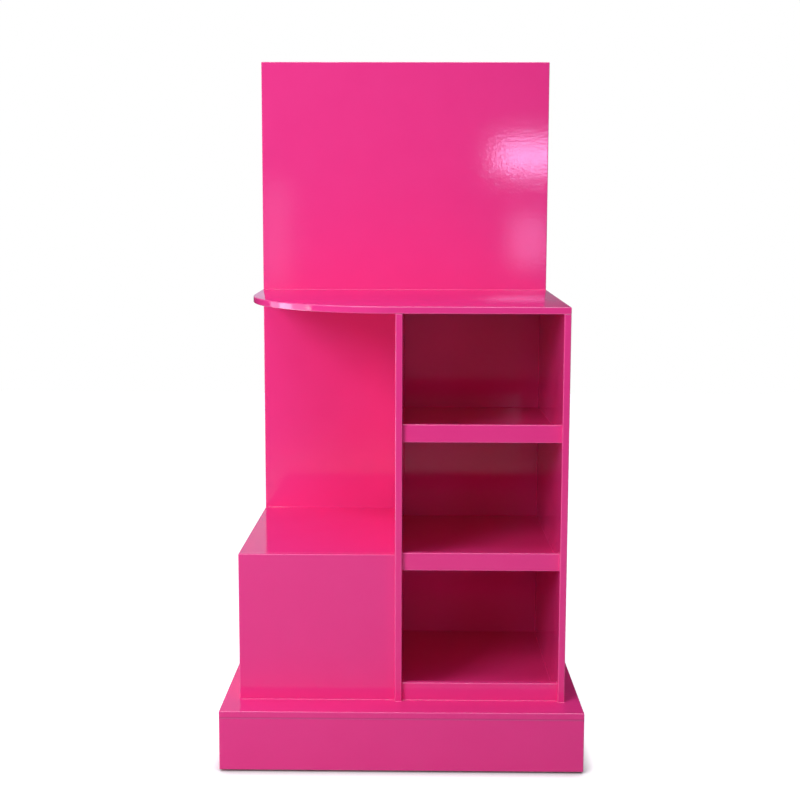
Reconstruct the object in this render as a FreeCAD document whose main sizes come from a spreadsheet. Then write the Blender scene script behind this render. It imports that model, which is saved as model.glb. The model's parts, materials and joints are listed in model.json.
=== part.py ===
"""Display stand of lacquered board: plinth, closed podium, shelved bay, raked counter and header.

Millimetres, +Z up. The front faces -Y, and the origin is on the floor in the middle of the footprint.
"""
import FreeCAD, Part
import math
import os
import re

import Sketcher
from FreeCAD import Placement, Rotation, Vector

SIZES = {
    # every board
    "board": 15,                # thickness
    "arris": 2,                 # rounding of an exposed edge
    # plinth
    "side_margin": 35,          # deck that shows beside the carcass
    "front_margin": 65,         # deck that shows in front of the uprights
    "plinth_board_height": 115,
    "rib_spacing": 380,         # between the middles of the two ribs
    "block": 40,                # side of the square blocks in the plinth
    "glide_height": 4,
    "glide_diameter": 36,
    # carcass, with heights above the deck
    "niche_width": 340,         # clear, left of the divider
    "bay_width": 340,           # clear, right of the divider
    "upright_depth": 510,
    "counter_height": 845,      # to the counter's underside at the front
    "counter_rake": 2.5,        # degrees that the counter falls to the front
    "corner_radius": 340,       # the counter's front left corner, in plan
    "back_panel_height": 1440,
    "front_setback": 10,        # lips and podium front, behind the uprights' edges
    "middle_shelf_height": 290,  # to the shelf's underside
    "upper_shelf_height": 570,
    "lip_height": 39,
    "housing_depth": 5,         # how far a shelf's ends lie in the uprights
    "podium_height": 325,
    "batten": 30,               # side of the square battens under the podium's top
    # dowels and screws
    "dowel_diameter": 8,
    "dowel_length": 30,
    "face_depth": 10,           # how far a dowel enters a board's face
    "dowel_inset": 60,          # from a board's end to the nearest dowel
    "dowel_fit": 0.1,           # round a dowel
    "end_play": 0.5,            # past the end of a dowel or screw
    "screw_diameter": 4,
    "screw_length": 40,
    "screw_head": 8,
    "screw_inset": 90,          # from a board's end to the nearest screw
    "screw_fit": 0.1,           # round a screw where it grips
    "screw_clearance": 0.25,    # round a screw in the back panel
    "head_recess": 0.2,         # head below the back panel's rear face
}

# lengths worked out from the sizes
CARCASS_WIDTH = "(niche_width + bay_width + 2 * board)"
PLINTH_WIDTH = f"({CARCASS_WIDTH} + 2 * side_margin)"
PLINTH_DEPTH = "(front_margin + upright_depth + board)"
INNER_DEPTH = "(upright_depth - front_setback - board)"
SIDE_LENGTH = f"({PLINTH_DEPTH} - 2 * board)"
EDGE_DEPTH = "(dowel_length - face_depth)"
PODIUM_TOP_WIDTH = "(niche_width - board)"
BATTEN_HEIGHT = "(podium_height - board - batten)"
COUNTER_RISE = "(upright_depth * tan(counter_rake))"
COUNTER_LENGTH = "(upright_depth / cos(counter_rake) + board * tan(counter_rake))"

# places in the stand's own frame
PLINTH_X = f"(-{PLINTH_WIDTH} / 2)"
PLINTH_Y = f"(-{PLINTH_DEPTH} / 2)"
LEFT_X = f"(-{CARCASS_WIDTH} / 2)"
DIVIDER_X = f"({LEFT_X} + niche_width)"
BAY_X = f"({DIVIDER_X} + board)"
RIGHT_X = f"({BAY_X} + bay_width)"
FRONT_Y = f"({PLINTH_Y} + front_margin)"
LIP_Y = f"({FRONT_Y} + front_setback)"
INNER_Y = f"({LIP_Y} + board)"
BACK_Y = f"({FRONT_Y} + upright_depth)"
DECK_Z = "(glide_height + plinth_board_height + board)"
COUNTER_Z = f"({DECK_Z} + counter_height)"

# the sides of a board, by the limit of its box that each one lies on
LEFT, RIGHT, FRONT, REAR, BOTTOM, TOP = "XMin", "XMax", "YMin", "YMax", "ZMin", "ZMax"
ON_SIDE = 1e-4

# each origin plane's role, and the sign of its normal along the axis that it faces
PLANES = {"XY": ("XY_Plane", 1), "XZ": ("XZ_Plane", -1), "YZ": ("YZ_Plane", 1)}
FORWARDS, BACKWARDS = 1, -1

doc = FreeCAD.newDocument("DisplayStand")
sheet = doc.addObject("Spreadsheet::Sheet", "Sizes")
for row, (alias, value) in enumerate(SIZES.items(), 1):
    sheet.set(f"A{row}", alias)
    sheet.set(f"B{row}", str(value))
    sheet.setAlias(f"B{row}", alias)
doc.recompute()


def bind(thing, name, text):
    """Tie a property to an expression, in which the sheet's aliases are plain words."""
    formula = re.sub(r"[a-z_]+", lambda word: f"Sizes.{word[0]}" if word[0] in SIZES else word[0], text)
    thing.setExpression(name, formula)


def new_body(name, x, y, z, raked=False):
    """An empty sub-part at its place; a raked one turns about X with the counter."""
    body = doc.addObject("PartDesign::Body", name)
    body.Label = name
    body.Placement = Placement(Vector(), Rotation(Vector(1, 0, 0), 1 if raked else 0))
    for axis, text in zip("xyz", (x, y, z)):
        bind(body, f"Placement.Base.{axis}", text)
    if raked:
        bind(body, "Placement.Rotation.Angle", "counter_rake")
    return body


def new_sketch(body, name, plane, level="0"):
    """A sketch on one of the body's origin planes, moved to a level along the axis it faces."""
    role, normal = PLANES[plane]
    sketch = body.newObject("Sketcher::SketchObject", f"{body.Name}_{name}")
    support = next(item for item in body.Origin.OriginFeatures if item.Role == role)
    sketch.AttachmentSupport = [(support, "")]
    sketch.MapMode = "FlatFace"
    bind(sketch, "AttachmentOffset.Base.z", level if normal > 0 else f"-({level})")
    return sketch


def fix_point(sketch, geometry, end, x, y):
    """Hold one point of a sketch at x and y, or on an axis where the text is "0"."""
    for kind, text, axis in (("DistanceX", x, -2), ("DistanceY", y, -1)):
        if text == "0":
            sketch.addConstraint(Sketcher.Constraint("PointOnObject", geometry, end, axis))
            continue
        index = sketch.addConstraint(Sketcher.Constraint(kind, -1, 1, geometry, end, 1.0))
        bind(sketch, f"Constraints[{index}]", text)


def polygon(sketch, corners):
    """A closed outline of straight lines through corners, each held at its own place."""
    first = sketch.GeometryCount
    count = len(corners)
    rough = [Vector(100 * (i in (1, 2)) + i, 100 * (i in (2, 3)) + i, 0) for i in range(count)]
    for i in range(count):
        sketch.addGeometry(Part.LineSegment(rough[i], rough[(i + 1) % count]), False)
    for i, (x, y) in enumerate(corners):
        previous = first + (i - 1) % count
        sketch.addConstraint(Sketcher.Constraint("Coincident", previous, 2, first + i, 1))
        fix_point(sketch, first + i, 1, x, y)


def rectangle(sketch, width, height, x="0", y="0"):
    """A rectangle with its lower left corner at x and y."""
    right, top = f"({x} + {width})", f"({y} + {height})"
    polygon(sketch, [(x, y), (right, y), (right, top), (x, top)])


def circles(sketch, points, diameter):
    """One circle of the given diameter at each point."""
    for x, y in points:
        circle = sketch.addGeometry(Part.Circle(Vector(1, 1, 0), Vector(0, 0, 1), 1), False)
        index = sketch.addConstraint(Sketcher.Constraint("Diameter", circle, 2.0))
        bind(sketch, f"Constraints[{index}]", diameter)
        fix_point(sketch, circle, 3, x, y)


def pad(body, name, sketch, plane, length, way=FORWARDS, taper=0):
    """Solid material, from the sketch along or against the axis that its plane faces."""
    feature = body.newObject("PartDesign::Pad", f"{body.Name}_{name}")
    feature.Profile = sketch
    bind(feature, "Length", length)
    feature.Reversed = way * PLANES[plane][1] < 0
    feature.TaperAngle = taper
    doc.recompute()
    return feature


def pocket(body, name, sketch, plane, length, way):
    """A cut from the sketch along or against the axis that its plane faces."""
    before = body.Tip.Shape.Volume
    feature = body.newObject("PartDesign::Pocket", f"{body.Name}_{name}")
    feature.Profile = sketch
    bind(feature, "Length", length)
    feature.Reversed = way * PLANES[plane][1] > 0
    doc.recompute()
    if not feature.Shape.Volume < before:
        raise RuntimeError(f"{feature.Name} cuts nothing")
    return feature


def drill(body, name, plane, level, points, diameter, depth, way):
    """Blind round holes, from a level into the body."""
    sketch = new_sketch(body, f"{name}_points", plane, level)
    circles(sketch, points, diameter)
    return pocket(body, name, sketch, plane, depth, way)


def dowel_holes(body, name, plane, level, points, depth, way):
    """Holes for dowels that go in to the given depth."""
    diameter = "dowel_diameter + 2 * dowel_fit"
    return drill(body, name, plane, level, points, diameter, f"{depth} + end_play", way)


def screw_holes(body, name, level, points):
    """Pilot holes in a rear edge, for the screws that come through the back panel."""
    depth = "screw_length - board + end_play"
    return drill(body, name, "XZ", level, points, "screw_diameter + 2 * screw_fit", depth, BACKWARDS)


def ease(body, *groups, without=()):
    """Round every edge that lies on all the sides of a group, apart from those on all the sides without."""
    base = body.Tip
    box = base.Shape.BoundBox

    def lies_on(edge, side):
        limit = getattr(box, side)
        ends = (getattr(edge.BoundBox, side[0] + "Min"), getattr(edge.BoundBox, side[0] + "Max"))
        return all(abs(end - limit) < ON_SIDE for end in ends)

    names = []
    for number, edge in enumerate(base.Shape.Edges, 1):
        chosen = any(all(lies_on(edge, side) for side in group) for group in groups)
        if chosen and not (without and all(lies_on(edge, side) for side in without)):
            names.append(f"Edge{number}")
    fillet = body.newObject("PartDesign::Fillet", f"{body.Name}_eased")
    fillet.Base = (base, names)
    bind(fillet, "Radius", "arris")
    doc.recompute()


def flat_board(name, width, depth, x, y, z):
    """A level board, from its front left corner on the underside."""
    body = new_body(name, x, y, z)
    outline = new_sketch(body, "outline", "XY")
    rectangle(outline, width, depth)
    pad(body, "board", outline, "XY", "board")
    return body


def front_board(name, width, height, x, y, z):
    """An upright board across the stand, from its lower left corner in front."""
    body = new_body(name, x, y, z)
    outline = new_sketch(body, "outline", "XZ")
    rectangle(outline, width, height)
    pad(body, "board", outline, "XZ", "board")
    return body


def side_board(name, depth, height, x, y, z):
    """An upright board from front to back, from its lower front corner on the left."""
    body = new_body(name, x, y, z)
    outline = new_sketch(body, "outline", "YZ")
    rectangle(outline, depth, height)
    pad(body, "board", outline, "YZ", "board")
    return body


def moved(points, x="0", y="0"):
    """The same points, seen from an origin that lies x and y back from them."""
    return [(f"({x} + {px})", f"({y} + {py})") for px, py in points]


def both_ends(length, inset):
    """Two places, each the inset away from an end of the length."""
    return [inset, f"({length} - {inset})"]


# dowel and screw places, each from its own board's origin
UPRIGHT_ROW = both_ends("upright_depth", "dowel_inset")
UPRIGHT_POINTS = [("(board / 2)", y) for y in UPRIGHT_ROW]
BAY_POINTS = [(x, "(board / 2)") for x in both_ends("bay_width", "dowel_inset")]
NICHE_POINTS = [(x, "(board / 2)") for x in both_ends("niche_width", "dowel_inset")]
COUNTER_POINTS = [
    (x, y) for x in ("(niche_width + board / 2)", f"({CARCASS_WIDTH} - board / 2)") for y in UPRIGHT_ROW
]
SHELF_HEIGHTS = ["middle_shelf_height", "upper_shelf_height"]

UPRIGHT_SCREWS = [
    ("(board / 2)", z) for z in both_ends("counter_height", "screw_inset")
]
COUNTER_SCREW_Z = f"({COUNTER_RISE} + board / 2 / cos(counter_rake))"
COUNTER_SCREWS = [(x, COUNTER_SCREW_Z) for x in both_ends(CARCASS_WIDTH, "screw_inset")]

# the same places gathered in the frame of the deck, the uprights, the fronts and the back panel
DECK_POINTS = (
    moved(UPRIGHT_POINTS, "side_margin + niche_width", "front_margin")
    + moved(UPRIGHT_POINTS, "side_margin + niche_width + board + bay_width", "front_margin")
    + moved(NICHE_POINTS, "side_margin", "front_margin + front_setback")
)
LIP_POINTS = [point for height in SHELF_HEIGHTS for point in moved(BAY_POINTS, "0", height)]
BACK_SCREWS = (
    moved(UPRIGHT_SCREWS, "niche_width")
    + moved(UPRIGHT_SCREWS, "niche_width + board + bay_width")
    + moved(COUNTER_SCREWS, "0", "counter_height")
)


def plinth_deck():
    """The plinth's top, on which the whole carcass stands."""
    body = flat_board("plinth_deck", PLINTH_WIDTH, PLINTH_DEPTH, PLINTH_X, PLINTH_Y, f"{DECK_Z} - board")
    ease(body, (TOP,), (FRONT, LEFT), (FRONT, RIGHT), (REAR, LEFT), (REAR, RIGHT), without=(TOP, REAR))
    dowel_holes(body, "dowels", "XY", "board", DECK_POINTS, "face_depth", BACKWARDS)


def plinth_boards():
    """The four boards round the plinth and the two ribs between front and rear."""
    height = "plinth_board_height"
    front = front_board("plinth_front", PLINTH_WIDTH, height, PLINTH_X, PLINTH_Y, "glide_height")
    ease(front, (BOTTOM, FRONT), (FRONT, LEFT), (FRONT, RIGHT))
    rear_y = f"{PLINTH_Y} + {PLINTH_DEPTH} - board"
    rear = front_board("plinth_rear", PLINTH_WIDTH, height, PLINTH_X, rear_y, "glide_height")
    ease(rear, (BOTTOM, REAR), (REAR, LEFT), (REAR, RIGHT))
    inner_y = f"{PLINTH_Y} + board"
    left = side_board("plinth_left", SIDE_LENGTH, height, PLINTH_X, inner_y, "glide_height")
    ease(left, (BOTTOM, LEFT))
    right = side_board("plinth_right", SIDE_LENGTH, height, f"-{PLINTH_X} - board", inner_y, "glide_height")
    ease(right, (BOTTOM, RIGHT))
    side_board("plinth_rib_left", SIDE_LENGTH, height, "-rib_spacing / 2 - board / 2", inner_y, "glide_height")
    side_board("plinth_rib_right", SIDE_LENGTH, height, "rib_spacing / 2 - board / 2", inner_y, "glide_height")


def block_corners():
    """The front left corners of the four blocks, seen from the plinth's front left corner."""
    columns = ["board", f"({PLINTH_WIDTH} - board - block)"]
    rows = ["board", f"({PLINTH_DEPTH} - board - block)"]
    return [(x, y) for y in rows for x in columns]


def plinth_blocks():
    """Square timber blocks, glued in the corners, that the glides are stuck to."""
    body = new_body("plinth_blocks", PLINTH_X, PLINTH_Y, "glide_height")
    outline = new_sketch(body, "outline", "XY")
    for x, y in block_corners():
        rectangle(outline, "block", "block", x, y)
    pad(body, "blocks", outline, "XY", "plinth_board_height")


def glides():
    """Nylon discs under the middles of the blocks."""
    body = new_body("glides", PLINTH_X, PLINTH_Y, "0")
    centres = moved(block_corners(), "block / 2", "block / 2")
    discs = new_sketch(body, "discs", "XY")
    circles(discs, centres, "glide_diameter")
    pad(body, "disc", discs, "XY", "glide_height")


def back_panel():
    """One board from the deck to the top, with countersunk holes from behind."""
    body = front_board("back_panel", CARCASS_WIDTH, "back_panel_height", LEFT_X, BACK_Y, DECK_Z)
    ease(body, (TOP,), (FRONT, LEFT), (FRONT, RIGHT), (REAR, LEFT), (REAR, RIGHT))
    points = new_sketch(body, "screw_points", "XZ", "board")
    circles(points, BACK_SCREWS, "screw_diameter + 2 * screw_clearance")
    before = body.Tip.Shape.Volume
    hole = body.newObject("PartDesign::Hole", "back_panel_screws")
    hole.Profile = points
    doc.recompute()
    hole.Threaded = False
    hole.DepthType = "ThroughAll"
    hole.Reversed = True
    bind(hole, "Diameter", "screw_diameter + 2 * screw_clearance")
    hole.HoleCutType = "Countersink"
    hole.HoleCutCustomValues = True
    bind(hole, "HoleCutDiameter", "screw_head + 2 * screw_clearance")
    hole.HoleCutCountersinkAngle = 90
    doc.recompute()
    if not hole.Shape.Volume < before:
        raise RuntimeError("the screw holes cut nothing")


def upright(name, x, shelf_face, way):
    """A full-depth side with its top raked to the counter, housed for the shelves on one face."""
    body = new_body(name, x, FRONT_Y, DECK_Z)
    outline = new_sketch(body, "outline", "YZ")
    rear_height = f"(counter_height + {COUNTER_RISE})"
    polygon(outline, [("0", "0"), ("upright_depth", "0"), ("upright_depth", rear_height), ("0", "counter_height")])
    pad(body, "board", outline, "YZ", "board")
    ease(body, (FRONT, LEFT), (FRONT, RIGHT))
    dowel_holes(body, "foot_dowels", "XY", "0", UPRIGHT_POINTS, EDGE_DEPTH, FORWARDS)
    housings = new_sketch(body, "housings", "YZ", shelf_face)
    for height in SHELF_HEIGHTS:
        rectangle(housings, INNER_DEPTH, "board", "(front_setback + board)", height)
    pocket(body, "shelf_housings", housings, "YZ", "housing_depth", way)
    screw_holes(body, "screws", "upright_depth", UPRIGHT_SCREWS)
    raked = new_sketch(body, "counter_points", "XY", "counter_height")
    raked.AttachmentOffset = Placement(Vector(), Rotation(Vector(1, 0, 0), 1))
    bind(raked, "AttachmentOffset.Rotation.Angle", "counter_rake")
    circles(raked, UPRIGHT_POINTS, "dowel_diameter + 2 * dowel_fit")
    pocket(body, "counter_dowels", raked, "XY", f"{EDGE_DEPTH} + end_play", BACKWARDS)


def worktop():
    """The counter: a quarter round at its front left, a raked underside and a rear edge cut plumb."""
    body = new_body("worktop", LEFT_X, FRONT_Y, COUNTER_Z, raked=True)
    outline = new_sketch(body, "outline", "XY")
    width = SIZES["niche_width"] + SIZES["bay_width"]
    depth, round_ = SIZES["upright_depth"], SIZES["corner_radius"]
    rough = [(round_, 0), (width, 0), (width, depth), (0, depth), (0, round_)]
    for start, end in zip(rough, rough[1:]):
        outline.addGeometry(Part.LineSegment(Vector(*start, 0), Vector(*end, 0)), False)
    circle = Part.Circle(Vector(round_, round_, 0), Vector(0, 0, 1), round_)
    outline.addGeometry(Part.ArcOfCircle(circle, math.pi, 1.5 * math.pi), False)
    front, right, rear, left, corner = range(5)
    loop = (front, right, rear, left, corner)
    for piece, following in zip(loop, loop[1:] + loop[:1]):
        outline.addConstraint(Sketcher.Constraint("Coincident", piece, 2, following, 1))
    for line, kind in ((front, "Horizontal"), (right, "Vertical"), (rear, "Horizontal"), (left, "Vertical")):
        outline.addConstraint(Sketcher.Constraint(kind, line))
    outline.addConstraint(Sketcher.Constraint("Horizontal", corner, 1, corner, 3))
    outline.addConstraint(Sketcher.Constraint("Vertical", corner, 2, corner, 3))
    radius = outline.addConstraint(Sketcher.Constraint("Radius", corner, float(round_)))
    bind(outline, f"Constraints[{radius}]", "corner_radius")
    fix_point(outline, corner, 3, "corner_radius", "corner_radius")
    fix_point(outline, right, 2, CARCASS_WIDTH, COUNTER_LENGTH)
    pad(body, "board", outline, "XY", "board")
    ease(body, (TOP,), (BOTTOM,), (FRONT, RIGHT), without=(REAR,))

    wedge = new_sketch(body, "plumb_cut", "YZ")
    heel = "(upright_depth / cos(counter_rake))"
    polygon(wedge, [(heel, "0"), (COUNTER_LENGTH, "0"), (COUNTER_LENGTH, "board")])
    pocket(body, "plumb_edge", wedge, "YZ", CARCASS_WIDTH, FORWARDS)

    dowel_holes(body, "seats", "XY", "0", COUNTER_POINTS, "face_depth", FORWARDS)

    plumb = new_sketch(body, "screw_points", "XZ")
    plumb.AttachmentOffset = Placement(Vector(), Rotation(Vector(1, 0, 0), -1))
    bind(plumb, "AttachmentOffset.Base.y", "-upright_depth * sin(counter_rake)")
    bind(plumb, "AttachmentOffset.Base.z", "-upright_depth * cos(counter_rake)")
    bind(plumb, "AttachmentOffset.Rotation.Angle", "-counter_rake")
    circles(plumb, COUNTER_SCREWS, "screw_diameter + 2 * screw_fit")
    pocket(body, "screws", plumb, "XZ", "screw_length - board + end_play", BACKWARDS)


def shelf(name, height):
    """A shelf housed in both uprights, from behind its lip to the back panel."""
    width = "(bay_width + 2 * housing_depth)"
    body = flat_board(name, width, INNER_DEPTH, f"{BAY_X} - housing_depth", INNER_Y, f"{DECK_Z} + {height}")
    dowel_holes(body, "lip_dowels", "XZ", "0", moved(BAY_POINTS, "housing_depth"), EDGE_DEPTH, FORWARDS)


def shelf_lip(name, height):
    """The upstand on a shelf's front edge, flush with the shelf's underside."""
    body = front_board(name, "bay_width", "lip_height", BAY_X, LIP_Y, f"{DECK_Z} + {height}")
    ease(body, (TOP, FRONT), (TOP, REAR), (BOTTOM, FRONT))
    dowel_holes(body, "dowels", "XZ", "board", BAY_POINTS, "face_depth", BACKWARDS)


def bottom_lip():
    """The upstand that stands on the deck and closes the lowest bay in front."""
    body = front_board("bottom_lip", "bay_width", "lip_height", BAY_X, LIP_Y, DECK_Z)
    ease(body, (TOP, FRONT), (TOP, REAR))


def podium():
    """The closed low box: its front, its side and the top that lies between them."""
    front = front_board("podium_front", "niche_width", "podium_height", LEFT_X, LIP_Y, DECK_Z)
    ease(front, (TOP, FRONT), (TOP, LEFT), (FRONT, LEFT))
    dowel_holes(front, "foot_dowels", "XY", "0", NICHE_POINTS, EDGE_DEPTH, FORWARDS)

    side = side_board("podium_side", INNER_DEPTH, "podium_height", LEFT_X, INNER_Y, DECK_Z)
    ease(side, (TOP, LEFT))

    top_z = f"{DECK_Z} + podium_height - board"
    flat_board("podium_top", PODIUM_TOP_WIDTH, INNER_DEPTH, f"{LEFT_X} + board", INNER_Y, top_z)


def podium_battens():
    """Square battens under the podium's top, on all four sides."""
    level = f"{DECK_Z} + {BATTEN_HEIGHT}"
    short = f"({PODIUM_TOP_WIDTH} - 2 * batten)"
    inner_x = f"{LEFT_X} + board + batten"
    places = {
        "podium_side_batten": ("batten", INNER_DEPTH, f"{LEFT_X} + board", INNER_Y),
        "podium_divider_batten": ("batten", INNER_DEPTH, f"{DIVIDER_X} - batten", INNER_Y),
        "podium_front_batten": (short, "batten", inner_x, INNER_Y),
        "podium_rear_batten": (short, "batten", inner_x, f"{BACK_Y} - batten"),
    }
    for name, (width, depth, x, y) in places.items():
        body = new_body(name, x, y, level)
        outline = new_sketch(body, "outline", "XY")
        rectangle(outline, width, depth)
        pad(body, "batten", outline, "XY", "batten")


def dowels(name, plane, place, level, points, raked=False):
    """Beech dowels that start at a level, with points seen from the given place."""
    body = new_body(name, *place, raked=raked)
    sketch = new_sketch(body, "points", plane, level)
    circles(sketch, points, "dowel_diameter")
    pad(body, "dowels", sketch, plane, "dowel_length")


def back_screws():
    """Countersunk screws through the back panel, as one group."""
    body = new_body("back_screws", LEFT_X, BACK_Y, DECK_Z)
    heads = new_sketch(body, "heads", "XZ", "board - head_recess")
    circles(heads, BACK_SCREWS, "screw_head")
    pad(body, "head", heads, "XZ", "(screw_head - screw_diameter) / 2", BACKWARDS, taper=-45)
    shanks = new_sketch(body, "shanks", "XZ", "board - head_recess")
    circles(shanks, BACK_SCREWS, "screw_diameter")
    pad(body, "shank", shanks, "XZ", "screw_length", BACKWARDS)


def build():
    """Make every sub-part."""
    plinth_deck()
    plinth_boards()
    plinth_blocks()
    glides()
    back_panel()
    upright("divider", DIVIDER_X, "board", BACKWARDS)
    upright("right_side_panel", RIGHT_X, "0", FORWARDS)
    worktop()
    shelf("middle_shelf", "middle_shelf_height")
    shelf("upper_shelf", "upper_shelf_height")
    shelf_lip("middle_lip", "middle_shelf_height")
    shelf_lip("upper_lip", "upper_shelf_height")
    bottom_lip()
    podium()
    podium_battens()
    dowels("deck_dowels", "XY", (PLINTH_X, PLINTH_Y, DECK_Z), "-face_depth", DECK_POINTS)
    dowels("lip_dowels", "XZ", (BAY_X, LIP_Y, DECK_Z), "board - face_depth", LIP_POINTS)
    place = (LEFT_X, FRONT_Y, COUNTER_Z)
    dowels("worktop_dowels", "XY", place, f"-{EDGE_DEPTH}", COUNTER_POINTS, raked=True)
    back_screws()


def write():
    """Check the whole document, then write one file for each sub-part."""
    doc.recompute()
    for item in doc.Objects:
        if {"Invalid", "Error"} & set(item.State):
            raise RuntimeError(f"{item.Name} failed: {item.State}")
    bodies = [item for item in doc.Objects if item.TypeId == "PartDesign::Body"]
    for body in bodies:
        if body.Shape.isNull() or not body.Shape.isValid():
            raise RuntimeError(f"{body.Label} has no valid shape")
    os.makedirs("parts", exist_ok=True)
    for body in bodies:
        body.Shape.exportStep(f"parts/{body.Label}.step")
        print(f"{body.Label}: {len(body.Shape.Solids)} solids, {body.Shape.Volume / 1000:.1f} cm3")


build()
write()
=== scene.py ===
"""Looks of the lacquered display stand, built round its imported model.

Metres, +Z up, the front faces -Y. Lengths that a maker would measure are written in millimetres.
"""
import json
import logging
import math
from dataclasses import dataclass, field
from enum import Enum

import bpy
import numpy as np
from mathutils import Matrix, Vector


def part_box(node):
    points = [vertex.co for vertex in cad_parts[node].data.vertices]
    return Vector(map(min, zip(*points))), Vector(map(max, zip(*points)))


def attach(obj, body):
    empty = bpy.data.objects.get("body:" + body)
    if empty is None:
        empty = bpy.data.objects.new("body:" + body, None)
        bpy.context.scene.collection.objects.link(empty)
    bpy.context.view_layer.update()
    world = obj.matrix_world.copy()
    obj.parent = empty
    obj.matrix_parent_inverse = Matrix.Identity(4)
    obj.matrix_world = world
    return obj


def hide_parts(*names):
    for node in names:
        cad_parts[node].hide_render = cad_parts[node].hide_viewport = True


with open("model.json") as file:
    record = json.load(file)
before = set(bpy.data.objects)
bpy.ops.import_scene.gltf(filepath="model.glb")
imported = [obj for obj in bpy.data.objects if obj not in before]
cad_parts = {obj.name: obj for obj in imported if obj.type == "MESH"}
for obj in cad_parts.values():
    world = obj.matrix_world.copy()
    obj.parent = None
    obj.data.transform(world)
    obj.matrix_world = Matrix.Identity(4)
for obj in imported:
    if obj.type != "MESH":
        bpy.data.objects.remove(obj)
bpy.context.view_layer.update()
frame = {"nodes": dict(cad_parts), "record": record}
BODY = "root"
MM = 0.001
# thickness of every board, in mm
BOARD = 15.0
PLINTH_BOARDS = ("plinth_deck", "plinth_front", "plinth_rear", "plinth_left", "plinth_right")
# boards whose joint is filled and sanded flush, so that no painted arris highlight is drawn along it
FLUSH_BOARDS = ("podium_top", "podium_side")
log = logging.getLogger("stand")

Key = str | int
Setting = float | str | bool | tuple[float, ...]
Links = dict[Key, bpy.types.NodeSocket]
Way = tuple[float, float, float]

# the ways in which a lacquered face can run from an inside corner
LEFT, RIGHT, FORWARDS = (-1.0, 0.0, 0.0), (1.0, 0.0, 0.0), (0.0, -1.0, 0.0)
UP, DOWN = (0.0, 0.0, 1.0), (0.0, 0.0, -1.0)


class Slot(Enum):
    """The record's material slots."""

    LACQUER = "lacquered_board"
    RAW_BOARD = "raw_board"
    SOFTWOOD = "softwood"
    BEECH = "beech"
    NYLON = "nylon"
    STEEL = "zinc_steel"


def linear(hex_code: str) -> tuple[float, float, float, float]:
    """Turn an sRGB colour into the linear one that shaders use.

    Args:
        hex_code: six hex digits, with or without a leading hash.

    Returns:
        Linear red, green, blue and an alpha of 1.
    """
    digits = hex_code.lstrip("#")
    channels = [int(digits[i:i + 2], 16) / 255 for i in (0, 2, 4)]
    return (*(c / 12.92 if c <= 0.04045 else ((c + 0.055) / 1.055) ** 2.4 for c in channels), 1.0)


def per_mm(length: float) -> float:
    """Texture scale at which one cell of a pattern is `length` millimetres on Object coordinates."""
    return 1 / (length * MM)


def add_node(tree: bpy.types.NodeTree, kind: str, settings: dict[Key, Setting] | None = None,
             links: Links | None = None) -> bpy.types.Node:
    """Add one shader node with its settings and incoming links.

    Args:
        tree: the node tree that it goes in.
        kind: the node's type, without "ShaderNode" in front.
        settings: values by property name, or by input socket name or number.
        links: output sockets by input socket name or number.

    Returns:
        The new node.
    """
    node = tree.nodes.new(f"ShaderNode{kind}")
    for name, value in (settings or {}).items():
        if isinstance(name, str) and hasattr(node, name):
            setattr(node, name, value)
        else:
            node.inputs[name].default_value = value
    for name, socket in (links or {}).items():
        tree.links.new(socket, node.inputs[name])
    return node


def new_material(name: str) -> tuple[bpy.types.Material, bpy.types.NodeTree]:
    """An empty node material.

    Args:
        name: the material's name.

    Returns:
        The material and its cleared node tree.
    """
    material = bpy.data.materials.new(name)
    material.use_nodes = True
    material.node_tree.nodes.clear()
    return material, material.node_tree


def finish_material(tree: bpy.types.NodeTree, shader: bpy.types.Node) -> None:
    """Join a shader to the material's output.

    Args:
        tree: the material's node tree.
        shader: the node whose first output is the surface.
    """
    add_node(tree, "OutputMaterial", links={"Surface": shader.outputs[0]})


def object_place(tree: bpy.types.NodeTree) -> bpy.types.NodeSocket:
    """The socket that gives a point's place on its object, in metres."""
    return add_node(tree, "TexCoord").outputs["Object"]


@dataclass(frozen=True)
class Finish:
    """A procedural finish that is worked out from each point's place on its object."""

    name: str

    def shader(self, tree: bpy.types.NodeTree, place: bpy.types.NodeSocket) -> bpy.types.Node:
        """The finish's surface shader, which each kind of finish makes in its own way.

        Args:
            tree: the node tree that it goes in.
            place: the point's place on the object.

        Returns:
            The shader node.
        """
        raise NotImplementedError

    def build(self) -> bpy.types.Material:
        """Make the material.

        Returns:
            The finished material.
        """
        material, tree = new_material(self.name)
        finish_material(tree, self.shader(tree, object_place(tree)))
        return material


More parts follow.
